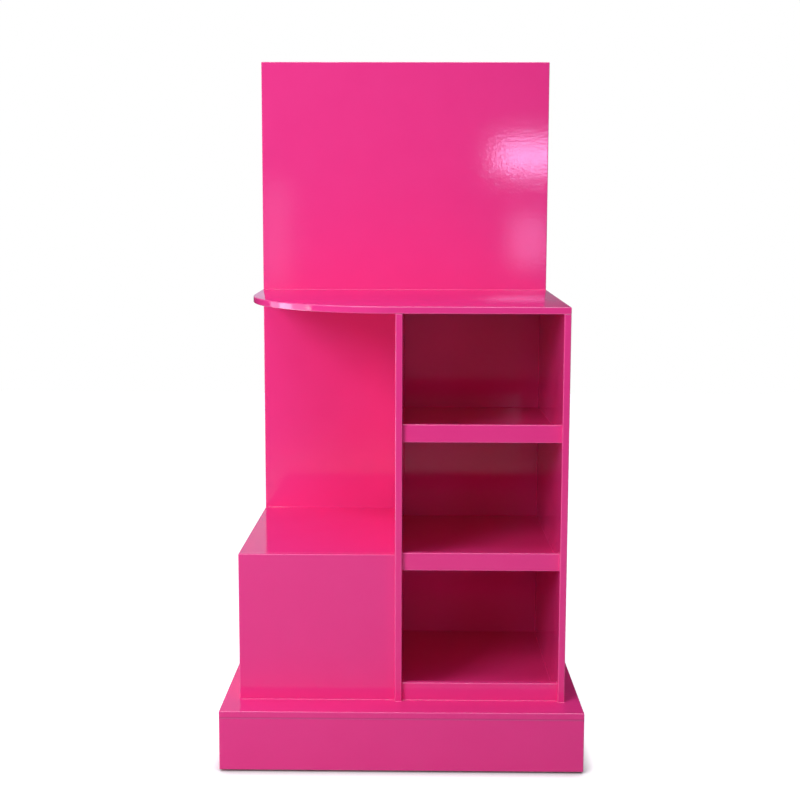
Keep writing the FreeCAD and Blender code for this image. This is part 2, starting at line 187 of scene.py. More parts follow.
@dataclass(frozen=True)
class SprayLacquer(Finish):
    """Pigmented polyurethane sprayed over sealed MDF and left as it dried.

    The eye sees a deep even pink under a wet-looking skin. Orange peel, the pebbled texture of sprayed
    lacquer, breaks up the edges of reflections, and a longer wave from hand sanding bends them. Along the
    arrises a thin paler line is painted in as a highlight, for the light that the rounded arris catches.
    The peel's real cells, about 3 mm wide, are too fine to show, so they are drawn about twice as coarse.
    """

    pink: str = "#F0388D"
    thin_pink: str = "#F23D91"
    seam_pink: str = "#D2347F"
    # the painted arris highlight: its pale pink, the bevel's reach in mm, the turn of the normal over which
    # it fades in, and its share
    arris_highlight_pink: str = "#FF9CCB"
    arris_highlight_reach: float = 2.6
    arris_highlight_from: float = 0.998
    arris_highlight_to: float = 0.93
    arris_highlight_share: float = 0.9
    arris_highlight_samples: int = 6
    roughness: float = 0.08
    ior: float = 1.5
    peel_cell: float = 6.2
    peel_depth: float = 0.115
    wave_cell: float = 26.0
    wave_depth: float = 0.020
    blotch_cell: float = 90.0

    def shader(self, tree: bpy.types.NodeTree, place: bpy.types.NodeSocket,
               seam: bpy.types.NodeSocket | None = None) -> bpy.types.Node:
        """The lacquer's surface shader.

        Args:
            tree: the node tree that it goes in.
            place: the point's place on the object.
            seam: how much of a seam between two boards shows through, 0 to 1.

        Returns:
            The shader node.
        """
        blotch = add_node(tree, "TexNoise", {"Scale": per_mm(self.blotch_cell), "Detail": 3.0},
                          {"Vector": place})
        colour = add_node(tree, "Mix", {"data_type": "RGBA", 6: linear(self.pink), 7: linear(self.thin_pink)},
                          {"Factor": blotch.outputs["Fac"]})
        # painted highlight: a paler pink is mixed in where the bevel's rounded normal turns away from the
        # face, along each arris
        if self.arris_highlight_reach > 0:
            rounded = add_node(tree, "Bevel", {"samples": self.arris_highlight_samples,
                                               "Radius": self.arris_highlight_reach * MM})
            flat = add_node(tree, "NewGeometry")
            turned = add_node(tree, "VectorMath", {"operation": "DOT_PRODUCT"},
                              {0: rounded.outputs["Normal"], 1: flat.outputs["Normal"]})
            arris = add_node(tree, "MapRange", {"From Min": self.arris_highlight_from, "From Max": self.arris_highlight_to,
                                                "To Max": self.arris_highlight_share},
                             {"Value": turned.outputs["Value"]})
            colour = add_node(tree, "Mix", {"data_type": "RGBA", 7: linear(self.arris_highlight_pink)},
                              {"Factor": arris.outputs[0], 6: colour.outputs[2]})
        if seam is not None:
            colour = add_node(tree, "Mix", {"data_type": "RGBA", 7: linear(self.seam_pink)},
                              {"Factor": seam, 6: colour.outputs[2]})
        wave = add_node(tree, "TexNoise", {"Scale": per_mm(self.wave_cell), "Detail": 1.0}, {"Vector": place})
        long_bump = add_node(tree, "Bump", {"Strength": 1.0, "Distance": self.wave_depth * MM},
                             {"Height": wave.outputs["Fac"]})
        peel = add_node(tree, "TexNoise", {"Scale": per_mm(self.peel_cell), "Detail": 2.0}, {"Vector": place})
        bump = add_node(tree, "Bump", {"Strength": 1.0, "Distance": self.peel_depth * MM},
                        {"Height": peel.outputs["Fac"], "Normal": long_bump.outputs["Normal"]})
        return add_node(tree, "BsdfPrincipled", {"Roughness": self.roughness, "IOR": self.ior},
                        {"Base Color": colour.outputs[2], "Normal": bump.outputs["Normal"]})


@dataclass(frozen=True)
class BareMdf(Finish):
    """Medium-density fibreboard, pressed from fine fibres and left raw.

    The eye sees a matt tan felt with darker flecks of bark and bundles of pale fibre. Real fibres are finer
    than 1 mm and are drawn coarser, so that they show.
    """

    tan: str = "#A98760"
    dark_fibre: str = "#7C5D3D"
    roughness: float = 0.86
    fibre_cell: float = 1.6
    fleck_cell: float = 7.0
    nap_depth: float = 0.08
    nap_strength: float = 0.6
    darkest: float = 0.12
    palest: float = 0.40

    def shader(self, tree: bpy.types.NodeTree, place: bpy.types.NodeSocket) -> bpy.types.Node:
        """The board's surface shader.

        Args:
            tree: the node tree that it goes in.
            place: the point's place on the object.

        Returns:
            The shader node.
        """
        fibre = add_node(tree, "TexNoise",
                         {"Scale": per_mm(self.fibre_cell), "Detail": 6.0, "Roughness": 0.7},
                         {"Vector": place})
        fleck = add_node(tree, "TexNoise", {"Scale": per_mm(self.fleck_cell), "Detail": 4.0},
                         {"Vector": place})
        both = add_node(tree, "Math", {"operation": "MULTIPLY"},
                        {0: fibre.outputs["Fac"], 1: fleck.outputs["Fac"]})
        shade = add_node(tree, "MapRange", {"From Min": self.darkest, "From Max": self.palest},
                         {"Value": both.outputs[0]})
        colour = add_node(tree, "Mix", {"data_type": "RGBA", 6: linear(self.dark_fibre), 7: linear(self.tan)},
                          {"Factor": shade.outputs[0]})
        bump = add_node(tree, "Bump", {"Strength": self.nap_strength, "Distance": self.nap_depth * MM},
                        {"Height": fibre.outputs["Fac"]})
        return add_node(tree, "BsdfPrincipled", {"Roughness": self.roughness},
                        {"Base Color": colour.outputs[2], "Normal": bump.outputs["Normal"]})


@dataclass(frozen=True)
class OpenPlinthBoard(Finish):
    """A plinth board: lacquered where it shows, bare MDF inside, with overspray that drifts in from below.

    The eye sees the pink stop at the lower edge and fade over the bare face in a soft pink mist. Outside, the
    seam between the deck's edge and the boards below it shows faintly through the lacquer.
    """

    lacquer: SprayLacquer
    board: BareMdf
    hollow_low: Vector
    hollow_high: Vector
    mist_height: float = 45.0
    mist_cell: float = 3.0
    mist_thick: float = 1.2
    mist_gone: float = -0.6
    seam_reach: float = 3.2

    def inside(self, tree: bpy.types.NodeTree, split: bpy.types.Node) -> bpy.types.NodeSocket:
        """Whether a point lies in the plinth's hollow: six comparisons multiplied together.

        Args:
            tree: the node tree that it goes in.
            split: the node that gives the point's X, Y and Z.

        Returns:
            A socket with 1 inside and 0 outside.
        """
        tests = [add_node(tree, "Math", {"operation": operation, 1: limit}, {0: split.outputs[axis]})
                 for axis, least, most in zip("XYZ", self.hollow_low, self.hollow_high)
                 for operation, limit in (("GREATER_THAN", least), ("LESS_THAN", most))]
        inside = tests[0].outputs[0]
        for test in tests[1:]:
            both = add_node(tree, "Math", {"operation": "MULTIPLY"}, {0: inside, 1: test.outputs[0]})
            inside = both.outputs[0]
        return inside

    def shader(self, tree: bpy.types.NodeTree, place: bpy.types.NodeSocket) -> bpy.types.Node:
        """Bare board where the point is inside and the mist is thin, lacquer everywhere else.

        Args:
            tree: the node tree that it goes in.
            place: the point's place on the object.

        Returns:
            The shader node.
        """
        split = add_node(tree, "SeparateXYZ", links={"Vector": place})
        speck = add_node(tree, "TexNoise", {"Scale": per_mm(self.mist_cell), "Detail": 5.0},
                         {"Vector": place})
        low = self.hollow_low.z
        drift = add_node(tree, "MapRange", {"From Min": low, "From Max": low + self.mist_height * MM,
                                            "To Min": self.mist_thick, "To Max": self.mist_gone},
                         {"Value": split.outputs["Z"]})
        mist = add_node(tree, "Math", {"operation": "ADD", "use_clamp": True},
                        {0: drift.outputs[0], 1: speck.outputs["Fac"]})
        bare = add_node(tree, "Math", {"operation": "SUBTRACT", 0: 1.0, "use_clamp": True},
                        {1: mist.outputs[0]})
        share = add_node(tree, "Math", {"operation": "MULTIPLY"},
                         {0: bare.outputs[0], 1: self.inside(tree, split)})
        below = add_node(tree, "Math", {"operation": "SUBTRACT", 1: self.hollow_high.z},
                         {0: split.outputs["Z"]})
        away = add_node(tree, "Math", {"operation": "ABSOLUTE"}, {0: below.outputs[0]})
        seam = add_node(tree, "MapRange", {"From Min": 0.0, "From Max": self.seam_reach * MM,
                                           "To Min": 1.0, "To Max": 0.0}, {"Value": away.outputs[0]})
        outside = self.lacquer.shader(tree, place, seam.outputs[0])
        return add_node(tree, "MixShader", links={0: share.outputs[0], 1: outside.outputs[0],
                                                  2: self.board.shader(tree, place).outputs[0]})


@dataclass(frozen=True)
class SawnTimber(Finish):
    """Solid wood, cut along the grain.

    The eye sees growth rings drawn out into long bands, fine pores along them, and a dull planed sheen.
    """

    early: str
    late: str
    ring: float
    roughness: float = 0.62
    stretch: float = 14.0
    pore_cell: float = 0.9
    rings_across: float = 20.0
    wander_reach: float = 4.0
    distortion: float = 1.2
    grain_depth: float = 0.05
    grain_strength: float = 0.5
    pore_share: float = 0.35
    palest: float = 0.1
    darkest: float = 1.2
    along: Way = (0.0, 0.0, 1.0)

    def shader(self, tree: bpy.types.NodeTree, place: bpy.types.NodeSocket) -> bpy.types.Node:
        """Rings about the grain that wander a little, with fine pores over them.

        Args:
            tree: the node tree that it goes in.
            place: the point's place on the object.

        Returns:
            The shader node.
        """
        squeeze = tuple(1 / self.stretch if part else 1.0 for part in self.along)
        place = add_node(tree, "Mapping", {"Scale": squeeze}, {"Vector": place})
        wander = add_node(tree, "TexNoise", {"Scale": per_mm(self.ring * self.wander_reach), "Detail": 2.0},
                          {"Vector": place.outputs[0]})
        shift = add_node(tree, "VectorMath", {"operation": "MULTIPLY_ADD", 1: (self.ring * MM,) * 3},
                         {0: wander.outputs["Color"], 2: place.outputs[0]})
        rings = add_node(tree, "TexWave", {"wave_type": "RINGS", "rings_direction": "SPHERICAL",
                                           "Scale": per_mm(self.ring) / self.rings_across,
                                           "Distortion": self.distortion},
                         {"Vector": shift.outputs[0]})
        pores = add_node(tree, "TexNoise", {"Scale": per_mm(self.pore_cell), "Detail": 3.0},
                         {"Vector": place.outputs[0]})
        tone = add_node(tree, "Math", {"operation": "MULTIPLY_ADD", 1: self.pore_share},
                        {0: pores.outputs["Fac"], 2: rings.outputs["Fac"]})
        shade = add_node(tree, "MapRange", {"From Min": self.palest, "From Max": self.darkest},
                         {"Value": tone.outputs[0]})
        colour = add_node(tree, "Mix", {"data_type": "RGBA", 6: linear(self.early), 7: linear(self.late)},
                          {"Factor": shade.outputs[0]})
        bump = add_node(tree, "Bump", {"Strength": self.grain_strength, "Distance": self.grain_depth * MM},
                        {"Height": tone.outputs[0]})
        return add_node(tree, "BsdfPrincipled", {"Roughness": self.roughness},
                        {"Base Color": colour.outputs[2], "Normal": bump.outputs["Normal"]})


@dataclass(frozen=True)
class MouldedNylon(Finish):
    """Black nylon, injection moulded in a spark-eroded tool.

    The eye sees a dull waxy black whose highlights are broken by a fine even texture, drawn about five times
    as coarse as it is, so that it shows.
    """

    black: str = "#17181A"
    roughness: float = 0.48
    spark_cell: float = 0.5
    spark_depth: float = 0.03
    spark_strength: float = 0.7

    def shader(self, tree: bpy.types.NodeTree, place: bpy.types.NodeSocket) -> bpy.types.Node:
        """One black with the tool's fine texture as a bump.

        Args:
            tree: the node tree that it goes in.
            place: the point's place on the object.

        Returns:
            The shader node.
        """
        spark = add_node(tree, "TexNoise", {"Scale": per_mm(self.spark_cell), "Detail": 2.0},
                         {"Vector": place})
        bump = add_node(tree, "Bump", {"Strength": self.spark_strength, "Distance": self.spark_depth * MM},
                        {"Height": spark.outputs["Fac"]})
        return add_node(tree, "BsdfPrincipled",
                        {"Roughness": self.roughness, "Base Color": linear(self.black)},
                        {"Normal": bump.outputs["Normal"]})


@dataclass(frozen=True)
class ZincPlatedSteel(Finish):
    """Steel screws, cold headed and bright zinc plated.

    The eye sees a cool grey metal with a faint cloudy bloom where the plating is thinner.
    """

    zinc: str = "#C9CBCB"
    bloom: str = "#A8AAA6"
    roughness: float = 0.34
    bloom_cell: float = 2.5

    def shader(self, tree: bpy.types.NodeTree, place: bpy.types.NodeSocket) -> bpy.types.Node:
        """Metal whose tint drifts between the bright zinc and its bloom.

        Args:
            tree: the node tree that it goes in.
            place: the point's place on the object.

        Returns:
            The shader node.
        """
        cloud = add_node(tree, "TexNoise", {"Scale": per_mm(self.bloom_cell), "Detail": 4.0},
                         {"Vector": place})
        colour = add_node(tree, "Mix", {"data_type": "RGBA", 6: linear(self.zinc), 7: linear(self.bloom)},
                          {"Factor": cloud.outputs["Fac"]})
        return add_node(tree, "BsdfPrincipled", {"Roughness": self.roughness, "Metallic": 1.0},
                        {"Base Color": colour.outputs[2]})


def new_piece(name: str, points: np.ndarray, faces: list[list[int]], material: bpy.types.Material,
              smooth_angle: float = 35.0) -> bpy.types.Object:
    """Make one piece of the stand from its points and faces.

    Args:
        name: the piece's name.
        points: one row of x, y, z in metres for each vertex.
        faces: the vertex numbers of each face, turned so that it looks outwards.
        material: the piece's finish.
        smooth_angle: faces that meet at less than this many degrees share their shading.

    Returns:
        The new object, which rides on the stand's body.
    """
    mesh = bpy.data.meshes.new(name)
    mesh.from_pydata(points.tolist(), [], faces)
    mesh.validate()
    mesh.materials.append(material)
    piece = bpy.data.objects.new(name, mesh)
    bpy.context.collection.objects.link(piece)
    mesh.shade_smooth()
    mesh.set_sharp_from_angle(angle=math.radians(smooth_angle))
    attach(piece, BODY)
    return piece


def tube_faces(rings: int, around: int, offset: int = 0) -> np.ndarray:
    """Quads between neighbouring closed rings of points, numbered ring after ring.

    Args:
        rings: how many rings there are.
        around: how many points each ring has.
        offset: the number of the first point.

    Returns:
        One row of four vertex numbers for each face.
    """
    ring, step = np.meshgrid(np.arange(rings - 1), np.arange(around), indexing="ij")
    following = (step + 1) % around
    corners = (ring * around + step, ring * around + following,
               (ring + 1) * around + following, (ring + 1) * around + step)
    return offset + np.stack([corner.ravel() for corner in corners], axis=1)


@dataclass
class Worktop:
    """The counter board: a quarter round at the front left, eased edges and a slight fall to the front."""

    board: float = BOARD
    arris: float = 2.0
    corner_radius: float = 340.0
    rake: float = 2.5
    front: float = -230.0
    front_height: float = 979.0
    corner_steps: int = 160
    edge_steps: int = 8
    small_steps: int = 8

    def underside(self, y: float) -> float:
        """Height of the board's underside at a place along Y, all in mm."""
        return self.front_height + (y - self.front) * math.tan(math.radians(self.rake))

    def top(self, y: float) -> float:
        """Height of the board's top at a place along Y, all in mm."""
        return self.underside(y) + self.board / math.cos(math.radians(self.rake))

    def outline(self, width: float, depth: float) -> tuple[np.ndarray, np.ndarray]:
        """The board's outline in plan and its outward directions, counter-clockwise from the front right.

        Each corner is a quarter circle of its own radius, and the rear corners are square.

        Args:
            width: along X, in mm.
            depth: along Y, in mm.

        Returns:
            Points and unit outward normals, one row each.
        """
        points, normals = [], []
        corners = (
            (width, 0.0, self.arris, -0.5, self.small_steps),
            (width, depth, 0.0, 0.0, 1),
            (0.0, depth, 0.0, 0.5, 1),
            (0.0, 0.0, self.corner_radius, 1.0, self.corner_steps),
        )
        for x, y, radius, start, steps in corners:
            angle = (start + np.linspace(0, 0.5, steps + 1)) * math.pi
            way = np.stack([np.cos(angle), np.sin(angle)], axis=1)
            middle = np.array([x, y]) - radius * (way[0] + way[-1])
            points.append(middle + radius * way)
            normals.append(way)
        return np.vstack(points), np.vstack(normals)

    def build(self, material: bpy.types.Material) -> bpy.types.Object:
        """Make the board as rings of its outline, inset and lifted round a quarter circle at each edge.

        Args:
            material: the lacquer.

        Returns:
            The piece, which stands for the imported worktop.
        """
        low, high = (np.array(corner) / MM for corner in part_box("worktop"))
        slope = math.radians(self.rake)
        width = high[0] - low[0]
        run = high[1] - low[1]
        depth = run / math.cos(slope) + self.board * math.tan(slope)
        points, normals = self.outline(width, depth)
        turn = np.linspace(0, math.pi / 2, self.edge_steps + 1)
        inset = self.arris * (1 - np.sin(turn))
        drop = self.arris * (1 - np.cos(turn))
        insets = np.concatenate([inset, inset[::-1]])
        heights = np.concatenate([self.board - drop, drop[::-1]])
        loose = (points[:, 1] < depth - self.arris / 2)[None, :, None]
        rings = points[None] - insets[:, None, None] * normals[None] * loose
        flat = np.dstack([rings, np.broadcast_to(heights[:, None], rings.shape[:2])]).reshape(-1, 3)
        around, count = len(points), len(insets)
        placed = np.empty_like(flat)
        placed[:, 0] = low[0] + flat[:, 0]
        placed[:, 1] = low[1] + flat[:, 1] * math.cos(slope) - flat[:, 2] * math.sin(slope)
        placed[:, 2] = self.front_height + flat[:, 1] * math.sin(slope) + flat[:, 2] * math.cos(slope)
        placed[:, 1] = np.clip(placed[:, 1], low[1], high[1])
        faces = tube_faces(count, around)[:, ::-1].tolist()
        faces.append(list(range(around)))
        faces.append(list(range(count * around - 1, (count - 1) * around - 1, -1)))
        piece = new_piece("worktop_board", placed * MM, faces, material)
        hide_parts("worktop")
        return piece


@dataclass
class BackScrews:
    """Countersunk screws that hold the back panel, with a cross recess in each head."""

    head_radius: float = 4.0
    shank_radius: float = 2.0
    cone_depth: float = 2.2
    recess_depth: float = 1.9
    arm_reach: float = 2.3
    wall_foot: float = 0.88
    wall_run: float = 0.44
    tip_radius: float = 0.3
    tip_length: float = 3.0
    first_ring: float = 0.04
    rings: int = 26
    around: int = 96
    upright_x: tuple[float, ...] = (-7.5, 347.5)
    upright_heights: tuple[float, ...] = (224.0, 889.0)
    worktop_x: tuple[float, ...] = (-265.0, 265.0)
    worktop_height: float = 1008.8
    turns: tuple[float, ...] = (12.0, 47.0, 71.0, 30.0, 5.0, 58.0)

    def places(self) -> list[tuple[float, float]]:
        """X and Z of each screw in mm: those in the uprights first, then those in the worktop."""
        uprights = [(x, z) for x in self.upright_x for z in self.upright_heights]
        return uprights + [(x, self.worktop_height) for x in self.worktop_x]

    def recess(self, radius: np.ndarray, angle: np.ndarray) -> np.ndarray:
        """Depth of the cross recess below the head's face.

        The four arms fall away along their own length and their walls slope, so the depth is the greatest
        depth times what is left of the arm's reach and of its width at that place, each held between 0 and 1.

        Args:
            radius: distance from the screw's axis in mm.
            angle: direction about the axis in radians.

        Returns:
            Depths in mm.
        """
        along = np.maximum(np.abs(radius * np.cos(angle)), np.abs(radius * np.sin(angle)))
        across = np.minimum(np.abs(radius * np.cos(angle)), np.abs(radius * np.sin(angle)))
        wall = np.clip((self.wall_foot - across) / self.wall_run, 0, 1)
        fall = np.clip(2 * (1 - along / self.arm_reach), 0, 1)
        return self.recess_depth * wall * fall

    def screw(self, length: float) -> tuple[np.ndarray, np.ndarray]:
        """One screw with its head's face at the origin and its shank towards -Y.

        The head's face is a grid of radius and angle lowered by the recess, and the cone and the shank are
        the same angles carried along a profile.

        Args:
            length: from the head's face to the tip, in mm.

        Returns:
            Points in mm, the first in the head's middle and the last at the tip, and the faces' quads.
        """
        reach = np.linspace(self.first_ring, 1, self.rings) * self.head_radius
        profile_radius = np.concatenate([reach, [self.shank_radius, self.shank_radius, self.tip_radius]])
        below_head = [self.cone_depth, length - self.tip_length, length]
        profile_drop = np.concatenate([np.zeros(self.rings), below_head])
        angle = np.linspace(0, 2 * math.pi, self.around, endpoint=False)
        radius, turn = np.meshgrid(profile_radius, angle, indexing="ij")
        drop = np.broadcast_to(profile_drop[:, None], radius.shape).copy()
        drop[:self.rings] += self.recess(radius[:self.rings], turn[:self.rings])
        points = np.stack([radius * np.cos(turn), -drop, radius * np.sin(turn)], axis=-1).reshape(-1, 3)
        return points, tube_faces(len(profile_radius), self.around)

    def build(self, material: bpy.types.Material) -> bpy.types.Object:
        """Make every screw of the back panel as one piece, each head left at its own turn.

        Args:
            material: the zinc-plated steel.

        Returns:
            The piece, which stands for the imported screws.
        """
        low, high = (np.array(corner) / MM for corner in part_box("back_screws"))
        length = high[1] - low[1]
        single, quads = self.screw(length)
        points, faces = [], []
        for number, ((x, z), degrees) in enumerate(zip(self.places(), self.turns)):
            turn = math.radians(degrees)
            spun = single.copy()
            spun[:, 0] = single[:, 0] * math.cos(turn) - single[:, 2] * math.sin(turn)
            spun[:, 2] = single[:, 0] * math.sin(turn) + single[:, 2] * math.cos(turn)
            points.append(spun + np.array([x, high[1], z]))
            first = number * len(single)
            faces += (quads + first).tolist()
            faces.append(list(range(first, first + self.around))[::-1])
            last = first + len(single) - self.around
            faces.append(list(range(last, last + self.around)))
        piece = new_piece("back_screw_heads", np.vstack(points) * MM, faces, material)
        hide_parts("back_screws")
        return piece


def heights(node: str) -> tuple[float, float]:
    """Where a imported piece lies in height.

    Args:
        node: the piece's name.

    Returns:
        Its lowest and highest point in mm.
    """
    low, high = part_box(node)
    return low[2] / MM, high[2] / MM


@dataclass(frozen=True)
class InsideCorner:
    """A straight inside corner between two lacquered faces, from start to end, in mm.

    One and other are the ways in which its two faces run from the corner.
    """

    start: Way
    end: Way
    one: Way
    other: Way
    radius: float = 1.6


@dataclass(frozen=True)
class Carcass:
    """The faces between which the stand's inside corners lie, in mm."""

    left: float
    right: float
    niche_right: float
    bay_left: float
    bay_right: float
    front: float
    lip_front: float
    lip_back: float
    back: float
    deck: float
    podium: float

    @classmethod
    def measure(cls) -> "Carcass":
        """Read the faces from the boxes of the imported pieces.

        Returns:
            The carcass.
        """
        low = {node: np.array(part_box(node)[0]) / MM for node in frame["nodes"]}
        high = {node: np.array(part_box(node)[1]) / MM for node in frame["nodes"]}
        return cls(left=low["podium_front"][0], right=high["right_side_panel"][0],
                   niche_right=low["divider"][0], bay_left=high["divider"][0],
                   bay_right=low["right_side_panel"][0], front=low["divider"][1],
                   lip_front=low["bottom_lip"][1], lip_back=high["bottom_lip"][1],
                   back=low["back_panel"][1], deck=high["plinth_deck"][2], podium=high["podium_top"][2])


@dataclass
class LacquerFillets:
    """The lacquer that gathers in inside corners and dries there as a small hollow fillet."""

    worktop: Worktop
    sunk: float = 0.3
    arc_steps: int = 6
    along_steps: int = 40
    thin_radius: float = 0.4

    def strip(self, corner: InsideCorner) -> tuple[np.ndarray, list[list[int]]]:
        """A hollow fillet: a quarter circle between the two faces, carried along the corner.

        Args:
            corner: where it lies and which ways its two faces run, in mm.

        Returns:
            Points in mm and faces.
        """
        one, other = np.array(corner.one), np.array(corner.other)
        angle = np.linspace(0, math.pi / 2, self.arc_steps + 1)[:, None]
        arc = corner.radius * ((1 - np.sin(angle)) * one + (1 - np.cos(angle)) * other)
        section = np.vstack([arc[0] - self.sunk * other, arc, arc[-1] - self.sunk * one,
                             -self.sunk * (one + other)])
        start, end = np.array(corner.start), np.array(corner.end)
        steps = np.linspace(0, 1, self.along_steps + 1)[:, None, None]
        points = (start + steps * (end - start) + section[None]).reshape(-1, 3)
        around = len(section)
        faces = tube_faces(self.along_steps + 1, around)
        direct = np.dot(np.cross(one, other), end - start) > 0
        faces = faces if direct else faces[:, ::-1]
        last = self.along_steps * around
        caps = [list(range(around))[::-1], list(range(last, last + around))]
        if not direct:
            caps = [cap[::-1] for cap in caps]
        return points, faces.tolist() + caps

    def foot(self, c: Carcass) -> list[InsideCorner]:
        """The corners in which the stand's outer faces meet the deck.

        Args:
            c: the carcass.

        Returns:
            The corners.
        """
        return [
            InsideCorner((c.left, c.lip_front, c.deck), (c.niche_right, c.lip_front, c.deck), FORWARDS, UP),
            InsideCorner((c.bay_left, c.lip_front, c.deck), (c.bay_right, c.lip_front, c.deck), FORWARDS, UP),
            InsideCorner((c.niche_right, c.front, c.deck), (c.bay_left, c.front, c.deck), FORWARDS, UP),
            InsideCorner((c.bay_right, c.front, c.deck), (c.right, c.front, c.deck), FORWARDS, UP),
            InsideCorner((c.left, c.lip_front, c.deck), (c.left, c.back, c.deck), LEFT, UP),
            InsideCorner((c.right, c.front, c.deck), (c.right, c.back, c.deck), RIGHT, UP),
        ]

    def niche(self, c: Carcass) -> list[InsideCorner]:
        """The corners round the open niche over the podium, and the thin one over the worktop.

        Args:
            c: the carcass.

        Returns:
            The corners.
        """
        under_front, under_back = self.worktop.underside(c.front), self.worktop.underside(c.back)
        over_back = self.worktop.top(c.back)
        return [
            InsideCorner((c.left, c.back, c.podium), (c.niche_right, c.back, c.podium), FORWARDS, UP),
            InsideCorner((c.niche_right, c.lip_front, c.podium), (c.niche_right, c.back, c.podium), LEFT, UP),
            InsideCorner((c.niche_right, c.back, c.podium), (c.niche_right, c.back, under_back),
                         FORWARDS, LEFT),
            InsideCorner((c.niche_right, c.front, under_front), (c.niche_right, c.back, under_back),
                         LEFT, DOWN),
            InsideCorner((c.left, c.back, under_back), (c.niche_right, c.back, under_back), FORWARDS, DOWN),
            InsideCorner((c.left, c.back, over_back), (c.right, c.back, over_back), FORWARDS, UP,
                         self.thin_radius),
            InsideCorner((c.niche_right, c.lip_front, c.deck), (c.niche_right, c.lip_front, c.podium),
                         LEFT, FORWARDS),
        ]

    def bay(self, c: Carcass, floor: float, ceiling: float, lip: str) -> list[InsideCorner]:
        """The corners inside one bay and at its lip's ends.

        Args:
            c: the carcass.
            floor: height of the bay's floor in mm.
            ceiling: height of the bay's ceiling at the rear in mm.
            lip: the name of the bay's lip.

        Returns:
            The corners.
        """
        lip_low, lip_high = heights(lip)
        top_bay = ceiling >= self.worktop.underside(c.front)
        front_ceiling = self.worktop.underside(c.lip_back) if top_bay else ceiling
        corners = [InsideCorner((c.bay_left, c.back, height), (c.bay_right, c.back, height), FORWARDS, way)
                   for height, way in ((floor, UP), (ceiling, DOWN))]
        for x, way in ((c.bay_left, RIGHT), (c.bay_right, LEFT)):
            corners += [
                InsideCorner((x, c.lip_back, floor), (x, c.back, floor), way, UP),
                InsideCorner((x, c.lip_back, front_ceiling), (x, c.back, ceiling), way, DOWN),
                InsideCorner((x, c.back, floor), (x, c.back, ceiling), way, FORWARDS),
                InsideCorner((x, c.lip_front, lip_low), (x, c.lip_front, lip_high), way, FORWARDS),
            ]
        return corners

    def corners(self) -> dict[str, list[InsideCorner]]:
        """Every inside corner that shows.

        Returns:
            The corners, grouped by the piece that their lacquer is made as.
        """
        c = Carcass.measure()
        middle_low, middle_high = heights("middle_shelf")
        upper_low, upper_high = heights("upper_shelf")
        bays = self.bay(c, c.deck, middle_low, "bottom_lip")
        bays += self.bay(c, middle_high, upper_low, "middle_lip")
        bays += self.bay(c, upper_high, self.worktop.underside(c.back), "upper_lip")
        return {"foot": self.foot(c), "bays": bays, "niche": self.niche(c)}

    def build(self, material: bpy.types.Material) -> list[bpy.types.Object]:
        """Make one piece for each group of corners.

        Args:
            material: the lacquer.

        Returns:
            The pieces.
        """
        pieces = []
        for group, corners in self.corners().items():
            points, faces, count = [], [], 0
            for corner in corners:
                strip, strip_faces = self.strip(corner)
                points.append(strip)
                faces += [[count + number for number in face] for face in strip_faces]
                count += len(strip)
            name = f"lacquer_fillets_{group}"
            pieces.append(new_piece(name, np.vstack(points) * MM, faces, material, 60.0))
        return pieces


@dataclass(frozen=True)
class SoftLight:
    """A soft box in the studio, in metres, watts and degrees.

    One that isn't mirrored lights the stand without showing in the lacquer. One that doesn't light matt
    surfaces shows in the lacquer only, like a pale thing in the room.
    """

    name: str
    place: Way
    aim: Way
    size: tuple[float, float]
    watts: float
    colour: str = "#FFFFFF"
    spread: float = 180.0
    mirrored: bool = True
    lights_matt: bool = True


@dataclass(frozen=True)
class RoomPatch:
    """A pale part of the room round the stand: a soft round patch that light comes from.

    The azimuth runs from the camera's side, 0 towards -Y, and is positive to the right, towards +X.
    """

    name: str
    azimuth: float
    elevation: float
    core: float
    rim: float
    level: float

    def way(self) -> Way:
        """The unit direction of the patch's middle."""
        turn, lift = math.radians(self.azimuth), math.radians(self.elevation)
        return (math.sin(turn) * math.cos(lift), -math.cos(turn) * math.cos(lift), math.sin(lift))

    def share(self, tree: bpy.types.NodeTree, way: bpy.types.NodeSocket) -> bpy.types.NodeSocket:
        """The patch's strength in each direction.

        Args:
            tree: the world's node tree.
            way: the direction that is looked in.

        Returns:
            A socket with the level in the core, falling smoothly to nothing at the rim.
        """
        near = add_node(tree, "VectorMath", {"operation": "DOT_PRODUCT", 1: self.way()}, {0: way})
        fade = add_node(tree, "MapRange", {"interpolation_type": "SMOOTHSTEP",
                                           "From Min": math.cos(math.radians(self.rim)),
                                           "From Max": math.cos(math.radians(self.core)),
                                           "To Min": 0.0, "To Max": self.level},
                        {"Value": near.outputs["Value"]})
        return fade.outputs[0]


